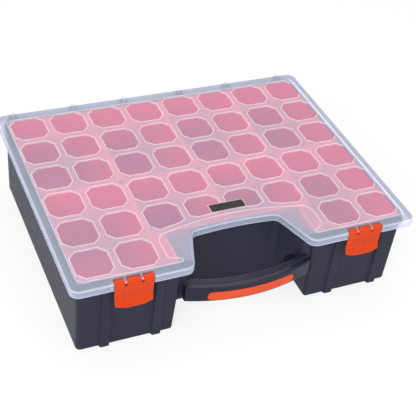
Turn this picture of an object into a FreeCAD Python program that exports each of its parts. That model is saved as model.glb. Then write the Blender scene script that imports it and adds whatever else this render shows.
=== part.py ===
import FreeCAD
import Part
import math
import os

# Deep parts organiser: drafted base, frosted lid on rear hinges, lift-out bins,
# two front latches and a carry handle set in a bay at the front.
# Millimetres, +Z up, front towards -Y. The origin is on the floor, below the middle
# of the closed box's outline.

# Lid
lid_width = 454.0
lid_depth = 354.0
total_height = 115.0
lid_corner_radius = 11.0
skirt_height = 11.5
skirt_thickness = 2.2
plate_thickness = 2.2
lid_edge_round = 3.4
lid_clearance = 0.3

# Bay at the front of the lid, over the handle. Depths run back from the lid's front edge.
recess_half_front = 78.5
recess_half_back = 58.0
recess_depth = 59.5
recess_bow = 3.5
recess_front_radius = 13.0
recess_back_radius = 10.0

# Raised lines on the lid
ridge_height = 0.8
ridge_width = 2.8
ridge_top_width = 1.3
column_share = 0.12
row_share = 0.154
octagon_fill = 0.855
octagon_chamfer = 9.5
octagon_sink = 0.7
octagon_columns = 8
octagon_rows = 6
field_side_margin = 10.7
field_back_margin = 16.0
field_front_margin = 12.5
field_corner_radius = 9.0
hook_half_gap = 88.0
hook_width = 5.0
hook_tip_radius = 2.2
pan_half_width = 103.5
pan_front_depth = 23.5
pan_side_depth = 54.5
pan_shoulder = 6.5
pan_shoulder_depth = 64.0
pan_bow = 13.0
pan_gap = 6.5

# Bare label on the lid
label_width = 46.0
label_depth = 13.0
label_thickness = 0.5
label_x = 2.0
label_front_depth = 91.0
label_border = 1.5

# Base
wall = 2.5
floor_thickness = 2.5
wall_inset_top = 10.5
wall_inset_bottom = 11.5
front_setback = 3.0
base_corner_radius = 6.0
bottom_round = 2.0
recess_wall_gap = 3.0
bay_half_bottom = 92.5
bay_half_top = 86.5
bay_depth = 58.0
bay_bow = 9.0
bay_corner_radius = 4.0
ear_bottom = 48.0
ear_setback = 16.5
ledge_height = 4.0
ledge_depth = 2.0
ledge_drop = 1.0
rib_face_width = 10.5
rib_flank = 2.0
rib_depth = 3.0
rib_offsets = [-27.2, 39.0]

# Latches
latch_offset = 1.5
latch_width = 47.5
latch_side_gap = 0.8
latch_barrel_radius = 4.0
latch_axis_setback = 3.9
latch_axis_drop = 4.2
latch_plate = 2.4
latch_crease_drop = 26.5
latch_corner_drop = 35.5
latch_bottom_bow = 4.0
latch_lip_flare = 4.0
latch_corner_radius = 2.0
latch_taper = 0.7
latch_pin_radius = 1.4
latch_pin_end = 2.0
lug_offset = 10.0
lug_width = 2.6
lug_eye_radius = 2.8
lug_side_gap = 0.3
flute_count = 6
flute_pitch = 6.0
flute_radius = 1.3
flute_length = 11.0
flute_drop = 13.5
catch_length = 34.0
catch_height = 5.0
catch_drop = 23.0
catch_reach = 6.0
catch_nose_low = 0.3
catch_nose_high = 0.6
hook_height = 4.0
hook_gap = 0.5
hook_nose_low = 0.4
hook_nose_high = 0.8

# Rear hinges
hinge_shares = [0.0934, 0.2581, 0.446]
hinge_behind_lid = 3.0
hinge_above_skirt = 2.0
hinge_pin_radius = 1.4
hinge_barrel_radius = 2.6
hinge_knuckle_width = 4.0
hinge_ear_width = 3.0
hinge_side_gap = 0.3
hinge_arm_height = 12.0
hinge_fin_drop = 3.0
running_clearance = 0.06

# Handle
handle_half_span = 81.5
handle_end_half = 84.0
handle_end_gap = 0.6
handle_end_radius = 6.0
handle_end_lead = 2.0
handle_ahead = 8.5
handle_bow = 14.0
handle_depth = 14.5
handle_bottom = 51.5
handle_face_height = 22.5
handle_step_depth = 6.5
handle_step_rise = 2.6
handle_crown_rise = 4.0
handle_corner_radius = 2.5
handle_arm_width = 12.0
handle_arm_depth = 29.0
handle_arm_rise = 3.0
handle_arm_height = 15.0
handle_wall_gap = 0.4
tenon_height = 10.0
tenon_depth = 8.0
tenon_reach = 9.0
tenon_clearance = 0.15
grip_half_length = 58.0
grip_height = 12.8
grip_rise = 3.0
grip_end_share = 0.49
grip_sink = 1.5
grip_proud = 0.5
grip_clearance = 0.1

# Bins
bin_columns = 4
bin_top_gap = 2.0
bin_wall = 1.6
bin_floor = 1.8
bin_draft_inset = 5.0
bin_gap = 0.4
bin_corner_radius = 7.0
bin_rim_width = 1.0
bin_rim_height = 2.5
bin_row_split_y = 0.0
bin_bay_gap = 0.5

# Levels and reaches worked out from the sizes above
plate_top = total_height - ridge_height
plate_under = plate_top - plate_thickness
skirt_bottom = total_height - skirt_height
rim_top = plate_under - lid_clearance
lid_front = -lid_depth / 2
lid_back = lid_depth / 2
recess_back_y = lid_front + recess_depth
bay_back_y = lid_front + bay_depth
ear_front_y = lid_front + ear_setback
pan_front_y = lid_front + pan_front_depth
pan_side_back_y = lid_front + pan_side_depth
pan_shoulder_y = lid_front + pan_shoulder_depth
label_y = lid_front + label_front_depth
handle_arm_back_y = lid_front + handle_arm_depth
column_pitch = lid_width * column_share
row_pitch = lid_depth * row_share
octagon_half_x = column_pitch * octagon_fill / 2
octagon_half_y = row_pitch * octagon_fill / 2
tower_centre = (bay_half_bottom + lid_width / 2 - wall_inset_bottom) / 2
latch_centre = tower_centre - latch_offset
latch_axis_y = lid_front + latch_axis_setback
latch_axis_z = total_height - latch_axis_drop
hinge_axis_y = lid_back + hinge_behind_lid
hinge_axis_z = skirt_bottom + hinge_above_skirt
handle_front = lid_front - handle_ahead
handle_radius = (handle_half_span ** 2 + handle_bow ** 2) / (2 * handle_bow)
handle_arc_y = handle_front + handle_radius
handle_half_angle = math.asin((handle_end_half + handle_depth) / handle_radius)
front_reach = -handle_front + grip_proud
rear_reach = hinge_axis_y + hinge_barrel_radius
origin_shift_y = (front_reach - rear_reach) / 2
pan_shoulder_half = pan_half_width - pan_shoulder
beyond = 40.0
bow_share = 0.8


def level(z):
    """Place outline corners in the horizontal plane at height z."""
    return lambda x, y: FreeCAD.Vector(x, y, z)


def side_plane(x):
    """Place outline corners, given as y and z, in the upright plane at x."""
    return lambda y, z: FreeCAD.Vector(x, y, z)


def front_plane(y):
    """Place outline corners, given as x and z, in the upright plane at y."""
    return lambda x, z: FreeCAD.Vector(x, y, z)


def inset_points(points, distance):
    """Corners of an anticlockwise outline with every side moved inwards."""
    moved = []
    for i, here in enumerate(points):
        before = points[i - 1]
        after = points[(i + 1) % len(points)]
        normals = []
        for start, end in ((before, here), (here, after)):
            run = (end[0] - start[0], end[1] - start[1])
            length = math.hypot(*run)
            normals.append((-run[1] / length, run[0] / length))
        (ax, ay), (bx, by) = normals
        scale = distance / (1 + ax * bx + ay * by)
        moved.append((here[0] + scale * (ax + bx), here[1] + scale * (ay + by)))
    return moved


def rounded_wire(points, radii, place):
    """Closed wire through the corners, each rounded to its radius."""
    starts = []
    middles = []
    ends = []
    for i, corner in enumerate(points):
        here = FreeCAD.Vector(corner[0], corner[1], 0)
        before = FreeCAD.Vector(points[i - 1][0], points[i - 1][1], 0)
        after = FreeCAD.Vector(*points[(i + 1) % len(points)], 0)
        back = (before - here).normalize()
        ahead = (after - here).normalize()
        half_angle = back.getAngle(ahead) / 2
        inward = (back + ahead).normalize()
        reach = radii[i] / math.tan(half_angle)
        starts.append(here + back * reach)
        ends.append(here + ahead * reach)
        middles.append(here + inward * (radii[i] / math.sin(half_angle) - radii[i]))
    edges = []
    for i in range(len(points)):
        following = (i + 1) % len(points)
        start, middle, end, onward = [
            place(p.x, p.y) for p in (starts[i], middles[i], ends[i], starts[following])
        ]
        if radii[i] > 0:
            edges.append(Part.Arc(start, middle, end).toShape())
        edges.append(Part.LineSegment(end, onward).toShape())
    return Part.Wire(edges)


def same_radius(points, radius):
    """One radius for every corner."""
    return [radius] * len(points)


def prism(points, radii, z_low, z_high):
    """Upright solid with a rounded outline."""
    face = Part.Face(rounded_wire(points, radii, level(z_low)))
    return face.extrude(FreeCAD.Vector(0, 0, z_high - z_low))


def profile_along_x(points, radii, x_low, x_high):
    """Solid with an outline given as y and z, drawn out along X."""
    face = Part.Face(rounded_wire(points, radii, side_plane(x_low)))
    return face.extrude(FreeCAD.Vector(x_high - x_low, 0, 0))


def profile_along_y(points, radii, y_low, y_high):
    """Solid with an outline given as x and z, drawn out along Y."""
    face = Part.Face(rounded_wire(points, radii, front_plane(y_low)))
    return face.extrude(FreeCAD.Vector(0, y_high - y_low, 0))


def drafted(points_low, radii_low, z_low, points_high, radii_high, z_high):
    """Solid between two like outlines at two heights."""
    low = rounded_wire(points_low, radii_low, level(z_low))
    high = rounded_wire(points_high, radii_high, level(z_high))
    return Part.makeLoft([low, high], True, True)


def box(x_low, x_high, y_low, y_high, z_low, z_high):
    """Plain block between two corners."""
    corner = FreeCAD.Vector(x_low, y_low, z_low)
    return Part.makeBox(x_high - x_low, y_high - y_low, z_high - z_low, corner)


def rectangle(x_low, x_high, y_low, y_high):
    """Corners of a rectangle, anticlockwise."""
    return [(x_low, y_low), (x_high, y_low), (x_high, y_high), (x_low, y_high)]


def rod(radius, x_low, x_high, y, z):
    """Round bar along X."""
    start = FreeCAD.Vector(x_low, y, z)
    return Part.makeCylinder(radius, x_high - x_low, start, FreeCAD.Vector(1, 0, 0))


def bow_corner(half_width, rise):
    """Extra height and radius of a middle corner that bows a side by rise."""
    height = rise / (1 - bow_share / 2)
    slope = math.atan2(abs(height), half_width)
    return height, bow_share * half_width / math.sin(slope)


def mirrored(points, middle):
    """An anticlockwise run of corners on the left, a middle corner and the run's mirror on the right."""
    return points + [middle] + [(-x, y) for x, y in reversed(points)]


def lid_outline():
    """Corners and radii of the lid's plan."""
    bow_height, bow_radius = bow_corner(recess_half_back, recess_bow)
    points = [
        (-recess_half_front, lid_front),
        (-recess_half_back, recess_back_y),
        (0.0, recess_back_y + bow_height),
        (recess_half_back, recess_back_y),
        (recess_half_front, lid_front),
        (lid_width / 2, lid_front),
        (lid_width / 2, lid_back),
        (-lid_width / 2, lid_back),
        (-lid_width / 2, lid_front),
    ]
    half_bay = [recess_front_radius, recess_back_radius]
    return points, half_bay + [bow_radius] + half_bay[::-1] + [lid_corner_radius] * 4


def inset_outline(points, radii, distance):
    """Outline moved inwards, with its outer corners tightened and its hollow ones eased."""
    eased = []
    for i, radius in enumerate(radii):
        before = points[i - 1]
        here = points[i]
        after = points[(i + 1) % len(points)]
        into = (here[0] - before[0], here[1] - before[1])
        onward = (after[0] - here[0], after[1] - here[1])
        turn = into[0] * onward[1] - into[1] * onward[0]
        if turn > 0:
            eased.append(max(radius - distance, wall / 2))
        else:
            eased.append(radius + distance)
    return inset_points(points, distance), eased


def wall_inset(z):
    """How far the base's outer wall stands inside the lid's edge at height z."""
    return wall_inset_bottom + (wall_inset_top - wall_inset_bottom) * z / rim_top


def bay_half(z):
    """Half the bay's clear width between the front towers at height z."""
    return bay_half_bottom + (bay_half_top - bay_half_bottom) * z / rim_top


def front_wall_y(z):
    """Outer face of the front wall at height z."""
    return lid_front + wall_inset(z) + front_setback


def recess_wall_corners():
    """Corners of the base's wall round the recess: front left, back left and middle."""
    points, radii = lid_outline()
    grown, grown_radii = inset_outline(points, radii, recess_wall_gap)
    return grown[0], grown[1], grown[2], grown_radii[2]


def recess_wall_x(y):
    """Half-width of the recess between the base's slanted walls at y."""
    front, back, _, _ = recess_wall_corners()
    share = (y - front[1]) / (back[1] - front[1])
    return -(front[0] + (back[0] - front[0]) * share)


def lower_outline(z):
    """The base's plan below the ears, with a straight bay between the towers."""
    inset = wall_inset(z)
    half = lid_width / 2 - inset
    front = front_wall_y(z)
    bay = bay_half(z)
    bow_height, bow_radius = bow_corner(bay, bay_bow)
    left = [(-half, lid_back - inset), (-half, front), (-bay, front), (-bay, bay_back_y)]
    outer = [base_corner_radius, base_corner_radius, bay_corner_radius, bay_corner_radius]
    return mirrored(left, (0.0, bay_back_y + bow_height)), outer + [bow_radius] + outer[::-1]


def upper_outline(z):
    """The base's plan above the ears' floor, with slanted walls under the lid's recess."""
    inset = wall_inset(z)
    half = lid_width / 2 - inset
    front = front_wall_y(z)
    bay = bay_half(z)
    _, back, middle, bow_radius = recess_wall_corners()
    left = [
        (-half, lid_back - inset),
        (-half, front),
        (-bay, front),
        (-bay, ear_front_y),
        (-recess_wall_x(ear_front_y), ear_front_y),
        back,
    ]
    outer = [base_corner_radius, base_corner_radius, bay_corner_radius, wall / 2, wall, recess_back_radius]
    return mirrored(left, middle), outer + [bow_radius] + outer[::-1]


def base_shell():
    """Outer walls, floor and the two ears that carry the handle."""
    lower = drafted(*lower_outline(0), 0, *lower_outline(ear_bottom), ear_bottom)
    floor_edges = [e for e in lower.Edges if e.BoundBox.ZMax < bottom_round / 2]
    lower = lower.makeFillet(bottom_round, floor_edges)
    upper = drafted(*upper_outline(ear_bottom), ear_bottom, *upper_outline(rim_top), rim_top)
    ear_floor = ear_bottom + wall
    open_top = rim_top + wall
    low_room = drafted(
        *inset_outline(*lower_outline(floor_thickness), wall), floor_thickness,
        *inset_outline(*lower_outline(ear_floor), wall), ear_floor,
    )
    high_room = drafted(
        *inset_outline(*upper_outline(ear_floor), wall), ear_floor,
        *inset_outline(*upper_outline(open_top), wall), open_top,
    )
    return lower.fuse(upper).cut(low_room).cut(high_room)


def rim_ledge():
    """Band round the outside just under the lid, left open at the bay."""
    top = skirt_bottom - ledge_drop
    bottom = top - ledge_height
    outer_inset = wall_inset(top) - ledge_depth
    inner_inset = wall_inset(top) + wall / 2
    rings = []
    for inset in (outer_inset, inner_inset):
        half = lid_width / 2 - inset
        corners = rectangle(-half, half, lid_front + front_setback + inset, lid_back - inset)
        rings.append(prism(corners, same_radius(corners, base_corner_radius), bottom, top))
    bay = bay_half(bottom) + bay_corner_radius
    opening = box(-bay, bay, lid_front, bay_back_y, bottom, top)
    return rings[0].cut(rings[1]).cut(opening)


def front_rib(centre):
    """Upright stiffener on the front wall, with slanted flanks."""
    top = skirt_bottom - ledge_drop
    outlines = []
    for z in (0, top):
        face_y = front_wall_y(z) - rib_depth
        root_y = front_wall_y(z) + wall / 2
        half = rib_face_width / 2
        outlines.append([
            (centre - half - rib_flank, root_y),
            (centre - half, face_y),
            (centre + half, face_y),
            (centre + half + rib_flank, root_y),
        ])
    radii = [0, rib_flank / 2, rib_flank / 2, 0]
    return drafted(outlines[0], radii, 0, outlines[1], radii, top)


def latch_catch(centre):
    """Wedge on the front wall that the latch's hook closes under."""
    top = total_height - catch_drop
    bottom = top - catch_height
    root = front_wall_y(top) + wall / 2
    nose = front_wall_y(top) - catch_reach
    points = [
        (root, top), (nose, bottom + catch_height * catch_nose_high),
        (nose, bottom + catch_height * catch_nose_low), (root, bottom),
    ]
    half = catch_length / 2
    return profile_along_x(points, same_radius(points, 0), centre - half, centre + half)


def hinge_positions():
    """Middles of the rear hinges, left to right."""
    right = [lid_width * share for share in hinge_shares]
    return [-x for x in reversed(right)] + right


def hinge_ears(centre):
    """Two ears on the rear wall that hold a hinge pin."""
    root = lid_back - wall_inset(skirt_bottom) - wall / 2
    arm_top = skirt_bottom - hinge_side_gap
    ears = []
    for side in (-1, 1):
        near = centre + side * (hinge_knuckle_width / 2 + hinge_side_gap)
        far = near + side * hinge_ear_width
        x_low = min(near, far)
        x_high = max(near, far)
        points = [
            (root, arm_top - hinge_arm_height),
            (hinge_axis_y + hinge_barrel_radius, arm_top - hinge_barrel_radius / 2),
            (hinge_axis_y + hinge_barrel_radius, hinge_axis_z),
            (hinge_axis_y - hinge_barrel_radius, hinge_axis_z),
            (hinge_axis_y - hinge_barrel_radius, arm_top),
            (root, arm_top),
        ]
        arm = profile_along_x(points, same_radius(points, 0), x_low, x_high)
        eye = rod(hinge_barrel_radius, x_low, x_high, hinge_axis_y, hinge_axis_z)
        bore = rod(hinge_pin_radius, x_low, x_high, hinge_axis_y, hinge_axis_z)
        ears.append(arm.fuse(eye).cut(bore))
    return ears


def tenon_block(side, growth):
    """Space of the handle's tenon, grown by a clearance, on one side."""
    middle_z = handle_bottom + handle_arm_rise + handle_arm_height / 2
    y_low = ear_front_y + wall + handle_wall_gap
    x_root = recess_wall_x(handle_arm_back_y) - handle_arm_width / 2
    x_tip = recess_wall_x(y_low) + tenon_reach
    block = box(
        x_root, x_tip + growth,
        y_low - growth, y_low + tenon_depth + growth,
        middle_z - tenon_height / 2 - growth, middle_z + tenon_height / 2 + growth,
    )
    return block if side > 0 else block.mirror(FreeCAD.Vector(0, 0, 0), FreeCAD.Vector(1, 0, 0))


def make_base():
    """The dark body: shell, ledge, ribs, catches and hinge ears."""
    body = base_shell()
    additions = [rim_ledge()]
    for side in (-1, 1):
        additions.append(latch_catch(side * latch_centre))
        for offset in rib_offsets:
            additions.append(front_rib(side * tower_centre + offset))
    for centre in hinge_positions():
        additions.extend(hinge_ears(centre))
    body = body.fuse(additions)
    for side in (-1, 1):
        half = latch_width / 2 + latch_side_gap + 2 * skirt_thickness
        centre = side * latch_centre
        gap = box(
            centre - half, centre + half,
            lid_front, front_wall_y(0) + wall,
            skirt_bottom - ledge_drop, rim_top + wall,
        )
        body = body.cut(gap).cut(tenon_block(side, tenon_clearance))
    return body.removeSplitter()


def ridge(points, radii):
    """Raised line with slanted flanks, centred on a closed outline."""
    shells = []
    foot = plate_top - octagon_sink
    for sign in (-1, 1):
        low = inset_outline(points, radii, sign * ridge_width / 2)
        high = inset_outline(points, radii, sign * ridge_top_width / 2)
        shells.append(drafted(*low, foot, *high, total_height))
    return shells[0].cut(shells[1])


def pan_arc_y(x):
    """The raised arc behind the recess at x."""
    radius = (pan_shoulder_half ** 2 + pan_bow ** 2) / (2 * pan_bow)
    return pan_shoulder_y + pan_bow - radius + math.sqrt(max(radius ** 2 - x ** 2, 0))


def beside_recess(x):
    """Whether a panel at x stands clear of the recess on its outer side."""
    return abs(x) - octagon_half_x > pan_half_width


def octagon_outline(x, y):
    """Corners of one sunk panel. Behind the recess its front side follows the arc."""
    cut = octagon_chamfer
    front_y = y - octagon_half_y
    front = [(x - octagon_half_x + cut, front_y), (x + octagon_half_x - cut, front_y)]
    if not beside_recess(x):
        front = [(px, max(py, pan_arc_y(px) + pan_gap)) for px, py in front]
    left_low, right_low = [max(front_y + cut, py + cut / 2) for _, py in front]
    return front + [
        (x + octagon_half_x, right_low),
        (x + octagon_half_x, y + octagon_half_y - cut),
        (x + octagon_half_x - cut, y + octagon_half_y),
        (x - octagon_half_x + cut, y + octagon_half_y),
        (x - octagon_half_x, y + octagon_half_y - cut),
        (x - octagon_half_x, left_low),
    ]


def octagon_centres():
    """Middles of the sunk panels that fit behind and beside the recess."""
    centres = []
    for row in range(octagon_rows):
        for column in range(octagon_columns):
            x = (column - (octagon_columns - 1) / 2) * column_pitch
            y = ((octagon_rows - 1) / 2 - row) * row_pitch
            if beside_recess(x) or y > pan_arc_y(x) + pan_gap:
                centres.append((x, y))
    return centres


def field_outline():
    """The raised line round the panels, hooked in beside the recess."""
    front = lid_front + field_front_margin
    side = lid_width / 2 - field_side_margin
    bow_height, bow_radius = bow_corner(pan_shoulder_half, pan_bow)
    left = [
        (-side, lid_back - field_back_margin),
        (-side, front),
        (-hook_half_gap, front),
        (-hook_half_gap, front + hook_width),
        (-pan_half_width, pan_front_y),
        (-pan_half_width, pan_side_back_y),
        (-pan_shoulder_half, pan_shoulder_y),
    ]
    points = mirrored(left, (0.0, pan_shoulder_y + bow_height))
    tip = hook_tip_radius
    radii = [field_corner_radius, field_corner_radius, tip, tip, tip * 2, tip * 2, tip * 2]
    return points, radii + [bow_radius] + radii[::-1]


def lid_shell():
    """Top plate and skirt, with a pocket in the front edge for each latch."""
    points, radii = lid_outline()
    outer = prism(points, radii, skirt_bottom, plate_top)
    top_edges = [e for e in outer.Edges if e.BoundBox.ZMin > plate_top - lid_edge_round / 2]
    outer = outer.makeFillet(lid_edge_round, top_edges)
    room_points, room_radii = inset_outline(points, radii, skirt_thickness)
    shell = outer.cut(prism(room_points, room_radii, skirt_bottom - wall, plate_under))
    notch_back = latch_axis_y + latch_barrel_radius + latch_side_gap
    for side in (-1, 1):
        centre = side * latch_centre
        half = latch_width / 2 + latch_side_gap
        rim = half + skirt_thickness
        cheek = box(
            centre - rim, centre + rim,
            lid_front, notch_back + skirt_thickness, skirt_bottom, plate_top,
        )
        notch = box(
            centre - half, centre + half,
            lid_front - beyond, notch_back, skirt_bottom - wall, total_height + wall,
        )
        shell = shell.fuse(cheek.common(outer)).cut(notch)
    return shell


def latch_lugs(centre):
    """Two lugs in a latch pocket that hold the latch's pin."""
    notch_back = latch_axis_y + latch_barrel_radius + latch_side_gap
    lugs = []
    for offset in (-lug_offset, lug_offset):
        x_low = centre + offset - lug_width / 2
        x_high = x_low + lug_width
        arm = box(
            x_low, x_high, latch_axis_y, notch_back + skirt_thickness / 2,
            latch_axis_z - lug_eye_radius, plate_top,
        )
        eye = rod(lug_eye_radius, x_low, x_high, latch_axis_y, latch_axis_z)
        bore = rod(latch_pin_radius, x_low, x_high, latch_axis_y, latch_axis_z)
        lugs.append(arm.fuse(eye).cut(bore))
    return lugs


def hinge_knuckle(centre):
    """Fin on the lid's rear skirt that turns on a hinge pin."""
    x_low = centre - hinge_knuckle_width / 2
    x_high = centre + hinge_knuckle_width / 2
    root = lid_back - skirt_thickness / 2
    points = [
        (root, skirt_bottom),
        (hinge_axis_y, hinge_axis_z - hinge_barrel_radius),
        (hinge_axis_y + hinge_barrel_radius, hinge_axis_z),
        (hinge_axis_y + hinge_barrel_radius, total_height - hinge_fin_drop),
        (root, total_height - hinge_fin_drop),
    ]
    radii = [0, 0, 0, hinge_barrel_radius / 2, 0]
    fin = profile_along_x(points, radii, x_low, x_high)
    eye = rod(hinge_barrel_radius, x_low, x_high, hinge_axis_y, hinge_axis_z)
    bore_radius = hinge_pin_radius + running_clearance
    return fin.fuse(eye).cut(rod(bore_radius, x_low, x_high, hinge_axis_y, hinge_axis_z))


def label_seat(growth, z_low, z_high):
    """Space over the label's place, grown all round."""
    half_width = label_width / 2 + growth
    half_depth = label_depth / 2 + growth
    return box(
        label_x - half_width, label_x + half_width,
        label_y - half_depth, label_y + half_depth, z_low, z_high,
    )


def make_lid():
    """The frosted lid: shell, raised lines, sunk panels, latch lugs and hinge fins."""
    lid = lid_shell()
    pockets = []
    lines = [ridge(*field_outline())]
    for x, y in octagon_centres():
        points = octagon_outline(x, y)
        radii = same_radius(points, ridge_top_width)
        lines.append(ridge(points, radii))
        pockets.append(prism(points, radii, plate_top - octagon_sink, total_height))
    lid = lid.cut(Part.makeCompound(pockets))
    lid = lid.fuse(lines)
    seat_top = total_height - label_thickness
    lid = lid.cut(label_seat(label_border, seat_top, total_height + wall))
    additions = [label_seat(label_border, plate_under, seat_top)]
    for side in (-1, 1):
        additions.extend(latch_lugs(side * latch_centre))
    for centre in hinge_positions():
        additions.append(hinge_knuckle(centre))
    return lid.fuse(additions).removeSplitter()


def make_label():
    """Bare label plate on its seat in the lid."""
    return label_seat(0, total_height - label_thickness, total_height)


def make_latch(centre):
    """Latch with knuckles on a pin, a fluted face, a flared lip and a hook behind."""
    half = latch_width / 2
    face_y = latch_axis_y - latch_barrel_radius
    back_y = face_y + latch_plate
    crease_z = total_height - latch_crease_drop
    tip_z = total_height - latch_corner_drop - latch_bottom_bow
    tip_y = face_y - latch_lip_flare
    section = [
        (face_y, latch_axis_z), (face_y, crease_z), (tip_y, tip_z),
        (tip_y + latch_plate, tip_z), (back_y, crease_z), (back_y, latch_axis_z),
    ]
    radii = [0, latch_plate, latch_plate / 3, latch_plate / 3, latch_plate, 0]
    plate = profile_along_x(section, radii, centre - half, centre + half)
    corner_z = total_height - latch_corner_drop
    low_half = half - latch_taper
    bow_height, bow_radius = bow_corner(low_half, latch_bottom_bow)
    face = [
        (centre - half, total_height), (centre - low_half, corner_z), (centre, corner_z - bow_height),
        (centre + low_half, corner_z), (centre + half, total_height),
    ]
    face_radii = [0, latch_corner_radius, bow_radius, latch_corner_radius, 0]
    plate = plate.common(profile_along_y(face, face_radii, tip_y - beyond, lid_front + beyond))
    pieces = [rod(latch_barrel_radius, centre - half, centre + half, latch_axis_y, latch_axis_z)]
    flute_top = total_height - flute_drop
    for i in range(flute_count):
        x = centre + (i - (flute_count - 1) / 2) * flute_pitch
        foot = FreeCAD.Vector(x, face_y, flute_top - flute_length)
        pieces.append(Part.makeCylinder(flute_radius, flute_length, foot))
        for z in (flute_top, flute_top - flute_length):
            pieces.append(Part.makeSphere(flute_radius, FreeCAD.Vector(x, face_y, z)))
    pieces.append(latch_hook(centre))
    latch = plate.fuse(pieces)
    slot_half = lug_width / 2 + lug_side_gap
    slot_radius = latch_barrel_radius + latch_side_gap
    for offset in (-lug_offset, lug_offset):
        x = centre + offset
        latch = latch.cut(rod(slot_radius, x - slot_half, x + slot_half, latch_axis_y, latch_axis_z))
    bore_half = half - latch_pin_end + lug_side_gap
    bore_radius = latch_pin_radius + running_clearance
    latch = latch.cut(rod(bore_radius, centre - bore_half, centre + bore_half, latch_axis_y, latch_axis_z))
    return latch.removeSplitter()


def latch_hook(centre):
    """Lip on the latch's back that sits just under the catch."""
    top = total_height - catch_drop - catch_height
    bottom = top - hook_height
    reach = front_wall_y(total_height - catch_drop) - catch_reach - hook_gap
    root = latch_axis_y - latch_barrel_radius
    points = [
        (root, top), (root - latch_plate / 2, bottom),
        (reach, bottom + hook_height * hook_nose_low), (reach, bottom + hook_height * hook_nose_high),
    ]
    half = catch_length / 2
    return profile_along_x(points, same_radius(points, 0), centre - half, centre + half)


def make_latch_pin(centre):
    """Pin through the latch's knuckles and the lid's lugs."""
    half = latch_width / 2 - latch_pin_end
    return rod(latch_pin_radius, centre - half, centre + half, latch_axis_y, latch_axis_z)


def make_hinge_pin(centre):
    """Pin through one rear hinge."""
    half = hinge_knuckle_width / 2 + hinge_side_gap + hinge_ear_width
    return rod(hinge_pin_radius, centre - half, centre + half, hinge_axis_y, hinge_axis_z)


def turned_bar(points, radii, half_angle):
    """Section given as radius and z, turned about the handle's arc centre."""
    def place(radius, z):
        x = -radius * math.sin(half_angle)
        return FreeCAD.Vector(x, handle_arc_y - radius * math.cos(half_angle), z)
    face = Part.Face(rounded_wire(points, radii, place))
    centre = FreeCAD.Vector(0, handle_arc_y, 0)
    return face.revolve(centre, FreeCAD.Vector(0, 0, 1), math.degrees(2 * half_angle))


def grip_space(growth, outer_radius):
    """Rounded strip on the handle's front face, grown all round."""
    half = grip_half_length + growth
    z_low = handle_bottom + grip_rise - growth
    z_high = z_low + grip_height + 2 * growth
    points = rectangle(-half, half, z_low, z_high)
    strip = profile_along_y(
        points, same_radius(points, (z_high - z_low) * grip_end_share),
        handle_front - beyond, lid_front + beyond,
    )
    band = rectangle(handle_radius - grip_sink, outer_radius, z_low - wall, z_high + wall)
    return strip.common(turned_bar(band, same_radius(band, 0), handle_half_angle))


def handle_plan(z_low, z_high):
    """Upright solid that trims the bar to rounded ends in front of the ears."""
    back_y = ear_front_y - handle_end_gap
    end_y = handle_front + handle_bow - handle_end_lead
    nose_y = handle_front - handle_bow
    left = [(-handle_end_half, back_y), (-handle_end_half, end_y)]
    points = mirrored(left, (0.0, nose_y))
    radii = [handle_corner_radius, handle_end_radius, 0, handle_end_radius, handle_corner_radius]
    return prism(points, radii, z_low, z_high)


def make_handle():
    """Curved carry handle with an arm and tenon at each end."""
    front = handle_radius
    back = handle_radius - handle_depth
    face_top = handle_bottom + handle_face_height
    step_top = face_top + handle_step_rise
    crown = step_top + handle_crown_rise
    section = [
        (back, handle_bottom), (front, handle_bottom), (front, face_top),
        (front - handle_step_depth, step_top - handle_step_rise / 2),
        (front - handle_step_depth, step_top), (back, crown),
    ]
    soft = handle_corner_radius
    radii = [soft, soft, soft, handle_step_rise / 6, handle_step_rise / 6, soft]
    bar = turned_bar(section, radii, handle_half_angle).common(handle_plan(handle_bottom, crown))
    arm_low = handle_bottom + handle_arm_rise
    for side in (-1, 1):
        outer_back = recess_wall_x(handle_arm_back_y) - handle_wall_gap
        inner = outer_back - handle_arm_width
        arm_front_y = ear_front_y - handle_corner_radius
        arm_points = rectangle(inner, outer_back, arm_front_y, handle_arm_back_y)
        arm_radii = same_radius(arm_points, handle_corner_radius / 2)
        arm = prism(arm_points, arm_radii, arm_low, arm_low + handle_arm_height)
        if side < 0:
            arm = arm.mirror(FreeCAD.Vector(0, 0, 0), FreeCAD.Vector(1, 0, 0))
        bar = bar.fuse(arm).fuse(tenon_block(side, 0))
    return bar.cut(grip_space(grip_clearance, handle_radius + beyond)).removeSplitter()


def make_grip():
    """Bright strip let into the handle's front face."""
    return grip_space(0, handle_radius + grip_proud)


def room_limits():
    """Inside of the base at its rim: half-width, front and back."""
    inset = wall_inset(rim_top) + wall
    return lid_width / 2 - inset, front_wall_y(rim_top) + wall, lid_back - inset


def make_bin(points):
    """Open-topped bin with drafted walls and a narrow rim."""
    top = plate_under - bin_top_gap
    points = inset_points(points, bin_gap)
    radii = same_radius(points, bin_corner_radius)
    waist = inset_outline(points, radii, bin_rim_width)
    foot = inset_outline(points, radii, bin_rim_width + bin_draft_inset)
    body = drafted(*foot, floor_thickness, *waist, top)
    body = body.fuse(prism(points, radii, top - bin_rim_height, top))
    room_waist = inset_outline(points, radii, bin_rim_width + bin_wall)
    room_foot = inset_outline(points, radii, bin_rim_width + bin_draft_inset + bin_wall)
    room = drafted(*room_foot, floor_thickness + bin_floor, *room_waist, top)
    return body.cut(room).removeSplitter()


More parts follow.
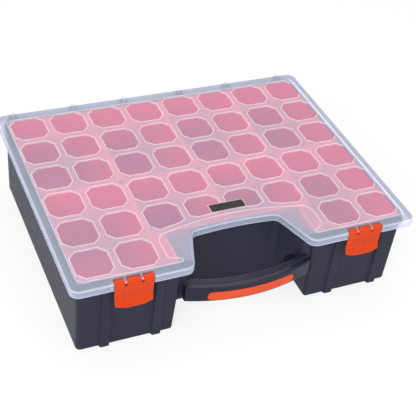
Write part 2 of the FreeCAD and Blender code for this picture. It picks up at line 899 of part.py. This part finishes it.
def bin_outlines():
    """Plans of the bins at their rims, by node name."""
    half, front, back = room_limits()
    pitch = 2 * half / bin_columns
    middle_front = bay_back_y + bay_bow + wall + bin_bay_gap
    step_half = bay_half_top + wall + bin_rim_width
    outlines = {}
    for column in range(bin_columns):
        x = -half + column * pitch
        outlines[f"bin_rear_{column + 1}"] = rectangle(x, x + pitch, bin_row_split_y, back)
    for column in range(1, bin_columns - 1):
        x = -half + column * pitch
        outlines[f"bin_middle_{column}"] = rectangle(x, x + pitch, middle_front, bin_row_split_y)
    corner = half - pitch
    right = [
        (step_half, front), (half, front), (half, bin_row_split_y), (corner, bin_row_split_y),
        (corner, middle_front), (step_half, middle_front),
    ]
    outlines["bin_front_right"] = right
    outlines["bin_front_left"] = [(-x, y) for x, y in reversed(right)]
    return outlines


def all_parts():
    """Every node's solid, by name."""
    parts = {
        "base": make_base(),
        "lid": make_lid(),
        "lid_label": make_label(),
        "handle": make_handle(),
        "handle_grip": make_grip(),
    }
    for name, side in (("left", -1), ("right", 1)):
        parts[f"latch_{name}"] = make_latch(side * latch_centre)
        parts[f"latch_pin_{name}"] = make_latch_pin(side * latch_centre)
    for i, centre in enumerate(hinge_positions()):
        parts[f"hinge_pin_{i + 1}"] = make_hinge_pin(centre)
    for name, points in bin_outlines().items():
        parts[name] = make_bin(points)
    return parts


os.makedirs("parts", exist_ok=True)
for node, shape in all_parts().items():
    shape.translate(FreeCAD.Vector(0, origin_shift_y, 0))
    shape.exportStep(f"parts/{node}.step")
    print(node, len(shape.Solids), "solid", shape.isValid(), round(shape.Volume))
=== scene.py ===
import logging
import math
from dataclasses import dataclass, field
from enum import Enum

import bpy
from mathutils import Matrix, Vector

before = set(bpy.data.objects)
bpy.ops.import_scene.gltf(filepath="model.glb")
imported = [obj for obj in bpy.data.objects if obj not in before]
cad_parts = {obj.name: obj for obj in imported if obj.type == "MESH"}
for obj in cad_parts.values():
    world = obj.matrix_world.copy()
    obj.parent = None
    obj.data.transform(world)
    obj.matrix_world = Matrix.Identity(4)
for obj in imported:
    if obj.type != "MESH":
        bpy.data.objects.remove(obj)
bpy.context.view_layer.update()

IMAGE_SIDE = 416
BEVEL_SAMPLES = 4
NOISE_LOW = 0.3
NOISE_HIGH = 0.7

log = logging.getLogger("organiser_box")


class Effect(Enum):
    """Shader node groups that several finishes share."""

    GRAIN = "moulded_grain"
    MOTTLE = "soft_mottle"
    # painted highlight on edges
    EDGE_HIGHLIGHT = "painted_edge_highlight"


class LidLevel(Enum):
    """Heights on the lid's top, in metres, that tell its zones apart."""

    LIP = 0.1045
    SKIRT = 0.1125
    PANEL = 0.1135
    PLATE = 0.1142
    FLANK = 0.1146


class Board:
    """A node tree that is filled node by node.

    The constants are the places of the Mix node's sockets for numbers and for colours.
    """

    FIRST_NUMBER: int = 2
    SECOND_NUMBER: int = 3
    NUMBER_RESULT: int = 0
    FIRST_COLOUR: int = 6
    SECOND_COLOUR: int = 7
    COLOUR_RESULT: int = 2

    def __init__(self, tree: bpy.types.NodeTree) -> None:
        """Take an empty tree."""
        self.tree = tree

    def add(self, kind: str, **settings: object) -> bpy.types.Node:
        """Add a node and set its properties.

        Args:
            kind: the node's type name.
            settings: property values of the node.

        Returns:
            The new node.
        """
        node = self.tree.nodes.new(kind)
        for name, value in settings.items():
            setattr(node, name, value)
        return node

    def join(self, source: bpy.types.NodeSocket, target: bpy.types.NodeSocket) -> None:
        """Link an output to an input."""
        self.tree.links.new(source, target)

    def maths(self, operation: str, *values: object) -> bpy.types.NodeSocket:
        """Add a Math node.

        Args:
            operation: the node's operation.
            values: numbers, or sockets to link.

        Returns:
            The node's output.
        """
        node = self.add("ShaderNodeMath", operation=operation)
        for i, value in enumerate(values):
            self.feed(value, node.inputs[i])
        return node.outputs[0]

    def feed(self, value: object, target: bpy.types.NodeSocket) -> None:
        """Set an input to a number or colour, or link it to a socket.

        Args:
            value: the number, colour or socket.
            target: the input.
        """
        if isinstance(value, bpy.types.NodeSocket):
            self.join(value, target)
        else:
            target.default_value = value

    def blend(self, share: object, first: object, second: object) -> bpy.types.NodeSocket:
        """Mix two colours.

        Args:
            share: how much of the second, a number or socket.
            first: a colour or socket.
            second: a colour or socket.

        Returns:
            The mixed colour's socket.
        """
        node = self.add("ShaderNodeMix", data_type="RGBA")
        self.feed(share, node.inputs["Factor"])
        self.feed(first, node.inputs[self.FIRST_COLOUR])
        self.feed(second, node.inputs[self.SECOND_COLOUR])
        return node.outputs[self.COLOUR_RESULT]

    def between(self, share: object, first: object, second: object) -> bpy.types.NodeSocket:
        """Mix two numbers.

        Args:
            share: how much of the second, a number or socket.
            first: a number or socket.
            second: a number or socket.

        Returns:
            The mixed number's socket.
        """
        node = self.add("ShaderNodeMix", data_type="FLOAT")
        self.feed(share, node.inputs["Factor"])
        self.feed(first, node.inputs[self.FIRST_NUMBER])
        self.feed(second, node.inputs[self.SECOND_NUMBER])
        return node.outputs[self.NUMBER_RESULT]

    def spread(
        self, value: object, low: float, high: float, out_low: float, out_high: float,
    ) -> bpy.types.NodeSocket:
        """Map a range of values to another, held at its ends.

        Args:
            value: the socket to map.
            low: start of the range.
            high: end of the range.
            out_low: result at the start.
            out_high: result at the end.

        Returns:
            The mapped value's socket.
        """
        node = self.add("ShaderNodeMapRange")
        for socket, number in zip(node.inputs, (value, low, high, out_low, out_high)):
            self.feed(number, socket)
        return node.outputs[0]

    def mask(self, value: object, off: float, on: float) -> bpy.types.NodeSocket:
        """Rise from 0 to 1 between two values.

        Args:
            value: the socket to read.
            off: where the mask is 0.
            on: where the mask is 1.

        Returns:
            The mask's socket.
        """
        return self.spread(value, off, on, 0.0, 1.0)


class EffectShelf:
    """Builds each shared effect once and places it in materials."""

    coarse_share: float = 0.28
    grain_detail: float = 3.0
    cloud_detail: float = 5.0
    cloud_roughness: float = 0.6
    flat_facing: float = 0.99
    edge_facing: float = 0.8
    break_low: float = 0.35
    break_high: float = 0.65
    break_floor: float = 0.3

    def __init__(self) -> None:
        """Build the groups."""
        self.groups = {
            Effect.GRAIN: self.build_grain(),
            Effect.MOTTLE: self.build_mottle(),
            Effect.EDGE_HIGHLIGHT: self.build_edge_highlight(),
        }

    def start(
        self, effect: Effect, inputs: dict[str, float], outputs: list[str],
    ) -> tuple[Board, dict, dict]:
        """Open a new group.

        Args:
            effect: which effect the group is.
            inputs: input names and their defaults.
            outputs: output names.

        Returns:
            The group's board, its inner input sockets and its inner output sockets, by name.
        """
        tree = bpy.data.node_groups.new(effect.value, "ShaderNodeTree")
        for name, value in inputs.items():
            socket = tree.interface.new_socket(name, in_out="INPUT", socket_type="NodeSocketFloat")
            socket.default_value = value
        for name in outputs:
            tree.interface.new_socket(name, in_out="OUTPUT", socket_type="NodeSocketFloat")
        board = Board(tree)
        entry = board.add("NodeGroupInput")
        leave = board.add("NodeGroupOutput")
        return board, {n: entry.outputs[n] for n in inputs}, {n: leave.inputs[n] for n in outputs}

    def build_grain(self) -> bpy.types.NodeTree:
        """Fine spark-eroded grain: a height for bump and a tone for roughness.

        Returns:
            The group's tree.
        """
        board, given, result = self.start(Effect.GRAIN, {"Scale": 900.0}, ["Height", "Tone"])
        place = board.add("ShaderNodeTexCoord").outputs["Object"]
        fine = board.add("ShaderNodeTexNoise")
        coarse = board.add("ShaderNodeTexNoise")
        for node, factor in ((fine, 1.0), (coarse, self.coarse_share)):
            board.join(place, node.inputs["Vector"])
            board.join(board.maths("MULTIPLY", given["Scale"], factor), node.inputs["Scale"])
            node.inputs["Detail"].default_value = self.grain_detail
        height = board.maths("ADD", fine.outputs[0], coarse.outputs[0])
        board.join(board.maths("MULTIPLY", height, 0.5), result["Height"])
        board.join(coarse.outputs[0], result["Tone"])
        return board.tree

    def build_mottle(self) -> bpy.types.NodeTree:
        """Slow cloudy change from handling and uneven moulding.

        Returns:
            The group's tree.
        """
        board, given, result = self.start(Effect.MOTTLE, {"Scale": 14.0}, ["Cloud"])
        place = board.add("ShaderNodeTexCoord").outputs["Object"]
        noise = board.add("ShaderNodeTexNoise")
        board.join(place, noise.inputs["Vector"])
        board.join(given["Scale"], noise.inputs["Scale"])
        noise.inputs["Detail"].default_value = self.cloud_detail
        noise.inputs["Roughness"].default_value = self.cloud_roughness
        board.join(board.mask(noise.outputs[0], NOISE_LOW, NOISE_HIGH), result["Cloud"])
        return board.tree

    def build_edge_highlight(self) -> bpy.types.NodeTree:
        """Painted highlights on edges, broken up by noise.

        Returns:
            The group's tree.
        """
        board, given, result = self.start(Effect.EDGE_HIGHLIGHT, {"Width": 0.001, "Break Scale": 160.0}, ["Mask"])
        bevel = board.add("ShaderNodeBevel", samples=BEVEL_SAMPLES)
        board.join(given["Width"], bevel.inputs["Radius"])
        shape = board.add("ShaderNodeNewGeometry")
        dot = board.add("ShaderNodeVectorMath", operation="DOT_PRODUCT")
        board.join(bevel.outputs[0], dot.inputs[0])
        board.join(shape.outputs["Normal"], dot.inputs[1])
        edge = board.mask(dot.outputs["Value"], self.flat_facing, self.edge_facing)
        noise = board.add("ShaderNodeTexNoise")
        board.join(board.add("ShaderNodeTexCoord").outputs["Object"], noise.inputs["Vector"])
        board.join(given["Break Scale"], noise.inputs["Scale"])
        broken = board.spread(noise.outputs[0], self.break_low, self.break_high, self.break_floor, 1.0)
        board.join(board.maths("MULTIPLY", edge, broken), result["Mask"])
        return board.tree

    def place(self, board: Board, effect: Effect, **values: float) -> bpy.types.Node:
        """Put an effect into a material.

        Args:
            board: the material's board.
            effect: which effect.
            values: values of the group's inputs, with underscores for spaces.

        Returns:
            The group node.
        """
        node = board.add("ShaderNodeGroup", node_tree=self.groups[effect])
        for name, value in values.items():
            node.inputs[name.replace("_", " ")].default_value = value
        return node


def open_material(name: str) -> tuple[bpy.types.Material, Board, bpy.types.Node]:
    """Start a node material.

    Args:
        name: the material's name.

    Returns:
        The material, its board and its Principled node.
    """
    material = bpy.data.materials.new(name)
    material.use_nodes = True
    material.node_tree.nodes.clear()
    board = Board(material.node_tree)
    shader = board.add("ShaderNodeBsdfPrincipled")
    board.join(shader.outputs[0], board.add("ShaderNodeOutputMaterial").inputs["Surface"])
    return material, board, shader


def vary_roughness(
    board: Board, shader: bpy.types.Node, tone: bpy.types.NodeSocket, middle: float, spread: float,
) -> None:
    """Let the grain's tone change how rough a material is.

    Args:
        board: the material's board.
        shader: its Principled node.
        tone: the grain's tone.
        middle: roughness at the middle tone.
        spread: difference between the roughest and the smoothest.
    """
    rough = board.spread(tone, NOISE_LOW, NOISE_HIGH, middle - spread / 2, middle + spread / 2)
    board.join(rough, shader.inputs["Roughness"])


def add_bump(
    board: Board, shader: bpy.types.Node, height: bpy.types.NodeSocket, depth: float, soften: float,
) -> None:
    """Give a material fine relief on softened edges.

    Args:
        board: the material's board.
        shader: its Principled node.
        height: relief from 0 to 1.
        depth: relief's depth in metres.
        soften: radius in metres that edges look rounded to.
    """
    bump = board.add("ShaderNodeBump")
    bump.inputs["Strength"].default_value = 1.0
    bump.inputs["Distance"].default_value = depth
    board.join(height, bump.inputs["Height"])
    bevel = board.add("ShaderNodeBevel", samples=BEVEL_SAMPLES)
    bevel.inputs["Radius"].default_value = soften
    board.join(bevel.outputs[0], bump.inputs["Normal"])
    board.join(bump.outputs[0], shader.inputs["Normal"])


@dataclass(frozen=True)
class MouldedFinish:
    """Opaque moulded plastic with grain, cloudy tone and painted highlights on its edges."""

    name: str
    colour: tuple[float, float, float]
    cloudy: tuple[float, float, float]
    edge_highlight: tuple[float, float, float]
    roughness: float
    roughness_spread: float = 0.12
    grain_scale: float = 1100.0
    grain_depth: float = 0.00006
    edge_width: float = 0.0009
    edge_share: float = 0.35
    soften: float = 0.0006
    specular: float = 0.5
    cloud_scale: float = 12.0

    def make(self, shelf: EffectShelf) -> bpy.types.Material:
        """Build the material.

        Args:
            shelf: the shared effects.

        Returns:
            The material.
        """
        material, board, shader = open_material(self.name)
        grain = shelf.place(board, Effect.GRAIN, Scale=self.grain_scale)
        edge_highlight = shelf.place(board, Effect.EDGE_HIGHLIGHT, Width=self.edge_width)
        body = self.body(board, shelf)
        # painted highlight: edges are blended towards a lighter colour
        highlight_share = board.maths("MULTIPLY", edge_highlight.outputs["Mask"], self.edge_share)
        board.join(board.blend(highlight_share, body, (*self.edge_highlight, 1.0)), shader.inputs["Base Color"])
        vary_roughness(board, shader, grain.outputs["Tone"], self.roughness, self.roughness_spread)
        shader.inputs["Specular IOR Level"].default_value = self.specular
        add_bump(board, shader, grain.outputs["Height"], self.grain_depth, self.soften)
        return material

    def body(self, board: Board, shelf: EffectShelf) -> bpy.types.NodeSocket:
        """Colour of the plastic away from its edges.

        Args:
            board: the material's board.
            shelf: the shared effects.

        Returns:
            The colour's socket.
        """
        mottle = shelf.place(board, Effect.MOTTLE, Scale=self.cloud_scale)
        return board.blend(mottle.outputs["Cloud"], (*self.colour, 1.0), (*self.cloudy, 1.0))


@dataclass(frozen=True)
class FloorShadedFinish(MouldedFinish):
    """Moulded plastic of an open bin, with painted shade darkening it towards its floor."""

    painted_floor_shade: tuple[float, float, float] = (0.1, 0.1, 0.1)
    deep_from: float = 0.1
    deep_to: float = 0.0

    def body(self, board: Board, shelf: EffectShelf) -> bpy.types.NodeSocket:
        """Colour of the plastic, with painted shade towards the floor.

        Args:
            board: the material's board.
            shelf: the shared effects.

        Returns:
            The colour's socket.
        """
        split = board.add("ShaderNodeSeparateXYZ")
        board.join(board.add("ShaderNodeTexCoord").outputs["Object"], split.inputs[0])
        # painted shade: the colour darkens towards the bin's floor
        depth = board.mask(split.outputs["Z"], self.deep_from, self.deep_to)
        return board.blend(depth, super().body(board, shelf), (*self.painted_floor_shade, 1.0))


@dataclass(frozen=True)
class FrostZone:
    """How one level of the lid scatters light."""

    colour: tuple[float, float, float]
    cover: float
    roughness: float


@dataclass(frozen=True)
class FrostedFinish:
    """Translucent plastic, with zones told apart by height on the lid."""

    name: str
    skirt: FrostZone
    under: FrostZone
    panel: FrostZone
    plate: FrostZone
    border: FrostZone
    ridge: FrostZone
    rim_highlight: FrostZone
    transmission: float
    ior: float
    coat: float = 0.3
    coat_roughness: float = 0.2
    cloud_share: float = 0.08
    cloud_scale: float = 9.0
    grain_scale: float = 700.0
    grain_depth: float = 0.00005
    soften: float = 0.0007
    field_side: float = 0.2163
    field_front: float = -0.1628
    field_back: float = 0.1627
    field_line: float = 0.0006
    lip_blend: float = 0.0004
    level_gap: float = 0.0001
    off_wall: tuple[float, float] = (0.1, 0.3)
    off_top: tuple[float, float] = (0.9, 0.7)
    near_flat: tuple[float, float] = (0.6, 0.8)

    def make(self, shelf: EffectShelf) -> bpy.types.Material:
        """Build the material.

        Args:
            shelf: the shared effects.

        Returns:
            The material.
        """
        material, board, shader = open_material(self.name)
        colour, cover, rough = self.zones(board)
        mottle = shelf.place(board, Effect.MOTTLE, Scale=self.cloud_scale)
        cloud = board.maths("MULTIPLY", mottle.outputs["Cloud"], self.cloud_share)
        board.join(board.blend(cloud, colour, (1.0, 1.0, 1.0, 1.0)), shader.inputs["Base Color"])
        board.join(cover, shader.inputs["Alpha"])
        board.join(rough, shader.inputs["Roughness"])
        shader.inputs["Transmission Weight"].default_value = self.transmission
        shader.inputs["IOR"].default_value = self.ior
        shader.inputs["Coat Weight"].default_value = self.coat
        shader.inputs["Coat Roughness"].default_value = self.coat_roughness
        grain = shelf.place(board, Effect.GRAIN, Scale=self.grain_scale)
        add_bump(board, shader, grain.outputs["Height"], self.grain_depth, self.soften)
        return material

    def zones(self, board: Board) -> tuple[bpy.types.NodeSocket, ...]:
        """Blend the zones by height, and the underside and slanted rims by their facing; the slanted rims and
        the skirt's bottom lip get a painted highlight.

        Args:
            board: the material's board.

        Returns:
            Sockets for the colour, the cover and the roughness.
        """
        spot = board.add("ShaderNodeTexCoord")
        split = board.add("ShaderNodeSeparateXYZ")
        facing = board.add("ShaderNodeSeparateXYZ")
        board.join(spot.outputs["Object"], split.inputs[0])
        board.join(spot.outputs["Normal"], facing.inputs[0])
        height = split.outputs["Z"]
        level = board.maths("ABSOLUTE", facing.outputs["Z"])
        slanted = board.maths("MULTIPLY", board.mask(level, *self.off_wall), board.mask(level, *self.off_top))
        # painted highlight on slanted flanks, rounded edges and the skirt's bottom lip
        lip_highlight = board.mask(height, LidLevel.LIP.value, LidLevel.LIP.value - self.lip_blend)
        on_plate = board.mask(height, LidLevel.PANEL.value + self.level_gap, LidLevel.PLATE.value)
        on_ridge = board.mask(height, LidLevel.PLATE.value + self.level_gap, LidLevel.FLANK.value)
        steps = [
            (board.mask(level, *self.near_flat), self.under),
            (board.mask(height, LidLevel.SKIRT.value, LidLevel.PANEL.value), self.panel),
            (on_plate, self.plate),
            (self.outside_field(board, split), self.border),
            (on_ridge, self.ridge),
            (board.maths("MAXIMUM", slanted, lip_highlight), self.rim_highlight),
        ]
        colour = (*self.skirt.colour, 1.0)
        cover = self.skirt.cover
        rough = self.skirt.roughness
        for share, zone in steps:
            colour = board.blend(share, colour, (*zone.colour, 1.0))
            cover = board.between(share, cover, zone.cover)
            rough = board.between(share, rough, zone.roughness)
        return colour, cover, rough

    def outside_field(self, board: Board, place: bpy.types.Node) -> bpy.types.NodeSocket:
        """Mask of the lid's top outside the raised line round the panels.

        Args:
            board: the material's board.
            place: node whose outputs are the point's X, Y and Z.

        Returns:
            The mask's socket.
        """
        across = board.maths("ABSOLUTE", place.outputs["X"])
        along = place.outputs["Y"]
        side = board.mask(across, self.field_side, self.field_side + self.field_line)
        front = board.mask(along, self.field_front, self.field_front - self.field_line)
        back = board.mask(along, self.field_back, self.field_back + self.field_line)
        outside = board.maths("MAXIMUM", side, board.maths("MAXIMUM", front, back))
        top = board.mask(place.outputs["Z"], LidLevel.SKIRT.value, LidLevel.PANEL.value)
        return board.maths("MULTIPLY", outside, top)


@dataclass(frozen=True)
class SteelFinish:
    """Drawn steel wire."""

    name: str
    colour: tuple[float, float, float]
    roughness: float
    roughness_spread: float = 0.16
    grain_scale: float = 2400.0
    grain_depth: float = 0.00002
    soften: float = 0.0002

    def make(self, shelf: EffectShelf) -> bpy.types.Material:
        """Build the material.

        Args:
            shelf: the shared effects.

        Returns:
            The material.
        """
        material, board, shader = open_material(self.name)
        shader.inputs["Base Color"].default_value = (*self.colour, 1.0)
        shader.inputs["Metallic"].default_value = 1.0
        grain = shelf.place(board, Effect.GRAIN, Scale=self.grain_scale)
        vary_roughness(board, shader, grain.outputs["Tone"], self.roughness, self.roughness_spread)
        add_bump(board, shader, grain.outputs["Height"], self.grain_depth, self.soften)
        return material


# The third colour of each moulded finish is its painted edge highlight.
DARK_SHELL = MouldedFinish(
    "dark_shell", (0.024, 0.025, 0.044), (0.028, 0.029, 0.051), (0.11, 0.11, 0.15), 0.46,
    edge_width=0.0011, edge_share=0.45, specular=0.12,
)
HANDLE_SHELL = MouldedFinish(
    "handle_shell", (0.007, 0.008, 0.021), (0.009, 0.010, 0.025), (0.13, 0.14, 0.18), 0.28,
    edge_width=0.0013, edge_share=0.5, specular=0.26,
)
LATCH_ORANGE = MouldedFinish(
    "latch_orange", (0.58, 0.041, 0.002), (0.61, 0.047, 0.003), (0.84, 0.19, 0.09), 0.36,
    grain_scale=1500.0, grain_depth=0.00003, edge_width=0.001, edge_share=0.8, specular=0.14,
)
GRIP_ORANGE = MouldedFinish(
    "grip_orange", (0.66, 0.066, 0.018), (0.69, 0.075, 0.022), (0.85, 0.15, 0.07), 0.5,
    grain_scale=1800.0, grain_depth=0.00005, specular=0.2,
)
# bin_red carries painted shade that darkens the bins towards their floors
BIN_RED = FloorShadedFinish(
    "bin_red", (0.93, 0.022, 0.032), (0.95, 0.028, 0.040), (0.96, 0.12, 0.13), 0.36,
    edge_share=0.2, specular=0.4, painted_floor_shade=(0.76, 0.04, 0.08), deep_from=0.085, deep_to=0.004,
)
LABEL_FILM = MouldedFinish(
    "label_film", (0.010, 0.010, 0.010), (0.014, 0.013, 0.012), (0.16, 0.14, 0.09), 0.32,
    grain_scale=2200.0, grain_depth=0.00002, edge_share=0.5, specular=0.3,
)
LID_FROST = FrostedFinish(
    "lid_frost",
    skirt=FrostZone((0.71, 0.77, 1.0), 0.46, 0.38),
    under=FrostZone((0.80, 0.84, 1.0), 0.03, 0.30),
    panel=FrostZone((0.70, 0.69, 1.0), 0.48, 0.28),
    plate=FrostZone((0.76, 0.79, 1.0), 0.67, 0.38),
    border=FrostZone((0.38, 0.41, 0.53), 0.95, 0.35),
    ridge=FrostZone((0.93, 0.90, 1.0), 1.00, 0.35),
    # painted highlight on slanted edges and the skirt's bottom lip
    rim_highlight=FrostZone((0.80, 0.85, 1.0), 0.85, 0.35),
    transmission=0.45,
    ior=1.18,
)
PIN_STEEL = SteelFinish("pin_steel", (0.56, 0.56, 0.58), 0.3)


def dress(node: str, material: bpy.types.Material) -> None:
    """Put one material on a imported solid.

    Args:
        node: the solid's name.
        material: what it wears.
    """
    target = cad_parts[node]
    target.data.materials.clear()
    target.data.materials.append(material)
    log.info("dressed %s in %s", node, material.name)


@dataclass
class BaseTub:
    """The dark body of the box with its hinge pins."""

    shell: MouldedFinish = DARK_SHELL
    pins: SteelFinish = PIN_STEEL
    pin_count: int = 6

    def dress(self, shelf: EffectShelf) -> None:
        """Finish the tub and its pins.

        Args:
            shelf: the shared effects.
        """
        dress("base", self.shell.make(shelf))
        steel = self.pins.make(shelf)
        for i in range(self.pin_count):
            dress(f"hinge_pin_{i + 1}", steel)


@dataclass
class CarryHandle:
    """The curved handle and the strip in its face."""

    bar: MouldedFinish = HANDLE_SHELL
    strip: MouldedFinish = GRIP_ORANGE

    def dress(self, shelf: EffectShelf) -> None:
        """Finish the bar and the strip."""
        dress("handle", self.bar.make(shelf))
        dress("handle_grip", self.strip.make(shelf))


@dataclass
class FrostedLid:
    """The hinged lid with its bare label."""

    plate: FrostedFinish = LID_FROST
    label: MouldedFinish = LABEL_FILM

    def dress(self, shelf: EffectShelf) -> None:
        """Finish the lid and the label."""
        dress("lid", self.plate.make(shelf))
        dress("lid_label", self.label.make(shelf))


@dataclass
class LatchPair:
    """The two latches and their pins."""

    face: MouldedFinish = LATCH_ORANGE
    pins: SteelFinish = PIN_STEEL
    sides: tuple[str, str] = ("left", "right")

    def dress(self, shelf: EffectShelf) -> None:
        """Finish both latches and their pins.

        Args:
            shelf: the shared effects.
        """
        orange = self.face.make(shelf)
        steel = self.pins.make(shelf)
        for side in self.sides:
            dress(f"latch_{side}", orange)
            dress(f"latch_pin_{side}", steel)


@dataclass
class BinSet:
    """The lift-out bins."""

    body: MouldedFinish = BIN_RED
    names: tuple[str, ...] = (
        "bin_rear_1", "bin_rear_2", "bin_rear_3", "bin_rear_4",
        "bin_middle_1", "bin_middle_2", "bin_front_left", "bin_front_right",
    )

    def dress(self, shelf: EffectShelf) -> None:
        """Finish every bin.

        Args:
            shelf: the shared effects.
        """
        red = self.body.make(shelf)
        for name in self.names:
            dress(name, red)


@dataclass
class SoftLight:
    """One square studio lamp aimed at the box."""

    name: str
    place: tuple[float, float, float]
    side: float
    power: float

    def build(self, target: Vector) -> None:
        """Hang the lamp.

        Args:
            target: point that it faces.
        """
        lamp = bpy.data.lights.new(self.name, "AREA")
        lamp.size = self.side
        lamp.energy = self.power
        holder = bpy.data.objects.new(self.name, lamp)
        holder.location = self.place
        holder.rotation_euler = (target - Vector(self.place)).to_track_quat("-Z", "Y").to_euler()
        bpy.context.scene.collection.objects.link(holder)


@dataclass
class Studio:
    """Pale floor, soft lamps and the camera."""

    floor_half: float = 6.0
    floor_colour: tuple[float, float, float] = (0.86, 0.86, 0.86)
    floor_roughness: float = 0.9
    floor_glow: float = 0.82
    sky_strength: float = 0.55
    aim: tuple[float, float, float] = (0.0, 0.0, 0.06)
    eye: tuple[float, float, float] = (-0.4509, -0.89507, 0.87342)
    turn: tuple[float, float, float] = (50.1874, -5.7484, -23.0189)
    focal_pixels: float = 957.3
    sensor: float = 36.0
    pixel_offset: float = 0.5
    lamps: list[SoftLight] = field(default_factory=lambda: [
        SoftLight("key_left", (-1.6, -1.2, 1.5), 1.2, 30.0),
        SoftLight("top", (0.1, 0.3, 1.9), 1.8, 20.0),
        SoftLight("front_fill", (0.9, -1.9, 0.9), 1.2, 12.0),
    ])

    def build(self) -> None:
        """Set up the whole studio."""
        self.build_floor()
        self.build_sky()
        for lamp in self.lamps:
            lamp.build(Vector(self.aim))
        self.build_camera()
        bpy.context.scene.view_settings.view_transform = "Standard"

    def build_floor(self) -> None:
        """Lay the floor, which glows to the camera but keeps some of the shadow."""
        half = self.floor_half
        corners = [(-half, -half, 0.0), (half, -half, 0.0), (half, half, 0.0), (-half, half, 0.0)]
        mesh = bpy.data.meshes.new("studio_floor")
        mesh.from_pydata(corners, [], [(0, 1, 2, 3)])
        floor = bpy.data.objects.new("studio_floor", mesh)
        bpy.context.scene.collection.objects.link(floor)
        material, board, shader = open_material("studio_floor")
        shader.inputs["Base Color"].default_value = (*self.floor_colour, 1.0)
        shader.inputs["Roughness"].default_value = self.floor_roughness
        glow = board.add("ShaderNodeEmission")
        mix = board.add("ShaderNodeMixShader")
        board.join(board.maths("MULTIPLY", self.seen(board), self.floor_glow), mix.inputs[0])
        board.join(shader.outputs[0], mix.inputs[1])
        board.join(glow.outputs[0], mix.inputs[2])
        outlet = next(n for n in board.tree.nodes if n.type == "OUTPUT_MATERIAL")
        board.join(mix.outputs[0], outlet.inputs["Surface"])
        mesh.materials.append(material)

    def build_sky(self) -> None:
        """Even white light from all round, white to the camera."""
        world = bpy.data.worlds.new("studio_sky")
        world.use_nodes = True
        world.node_tree.nodes.clear()
        board = Board(world.node_tree)
        sky = board.add("ShaderNodeBackground")
        strength = board.spread(self.seen(board), 0.0, 1.0, self.sky_strength, 1.0)
        board.join(strength, sky.inputs["Strength"])
        board.join(sky.outputs[0], board.add("ShaderNodeOutputWorld").inputs["Surface"])
        sky.inputs["Color"].default_value = (1.0, 1.0, 1.0, 1.0)
        bpy.context.scene.world = world

    def seen(self, board: Board) -> bpy.types.NodeSocket:
        """Mask of the rays that see the background, directly, mirrored or through the lid.

        Args:
            board: the board of the floor's material or the sky.

        Returns:
            The mask's socket.
        """
        rays = board.add("ShaderNodeLightPath").outputs
        through = board.maths("MAXIMUM", rays["Is Glossy Ray"], rays["Is Transmission Ray"])
        return board.maths("MAXIMUM", rays["Is Camera Ray"], through)

    def build_camera(self) -> None:
        """Stand the camera where the photograph was taken from."""
        lens = bpy.data.cameras.new("photo_view")
        lens.sensor_width = self.sensor
        lens.lens = self.focal_pixels / IMAGE_SIDE * self.sensor
        lens.shift_x = -self.pixel_offset / IMAGE_SIDE
        lens.shift_y = self.pixel_offset / IMAGE_SIDE
        camera = bpy.data.objects.new("photo_view", lens)
        camera.location = self.eye
        camera.rotation_euler = [math.radians(angle) for angle in self.turn]
        bpy.context.scene.collection.objects.link(camera)
        bpy.context.scene.camera = camera


def main() -> None:
    """Dress the sub-assemblies, then light and frame them."""
    logging.basicConfig(level=logging.INFO, format="%(name)s: %(message)s")
    shelf = EffectShelf()
    for assembly in (BaseTub(), BinSet(), CarryHandle(), FrostedLid(), LatchPair()):
        assembly.dress(shelf)
    Studio().build()


if __name__ == "__main__":
    main()
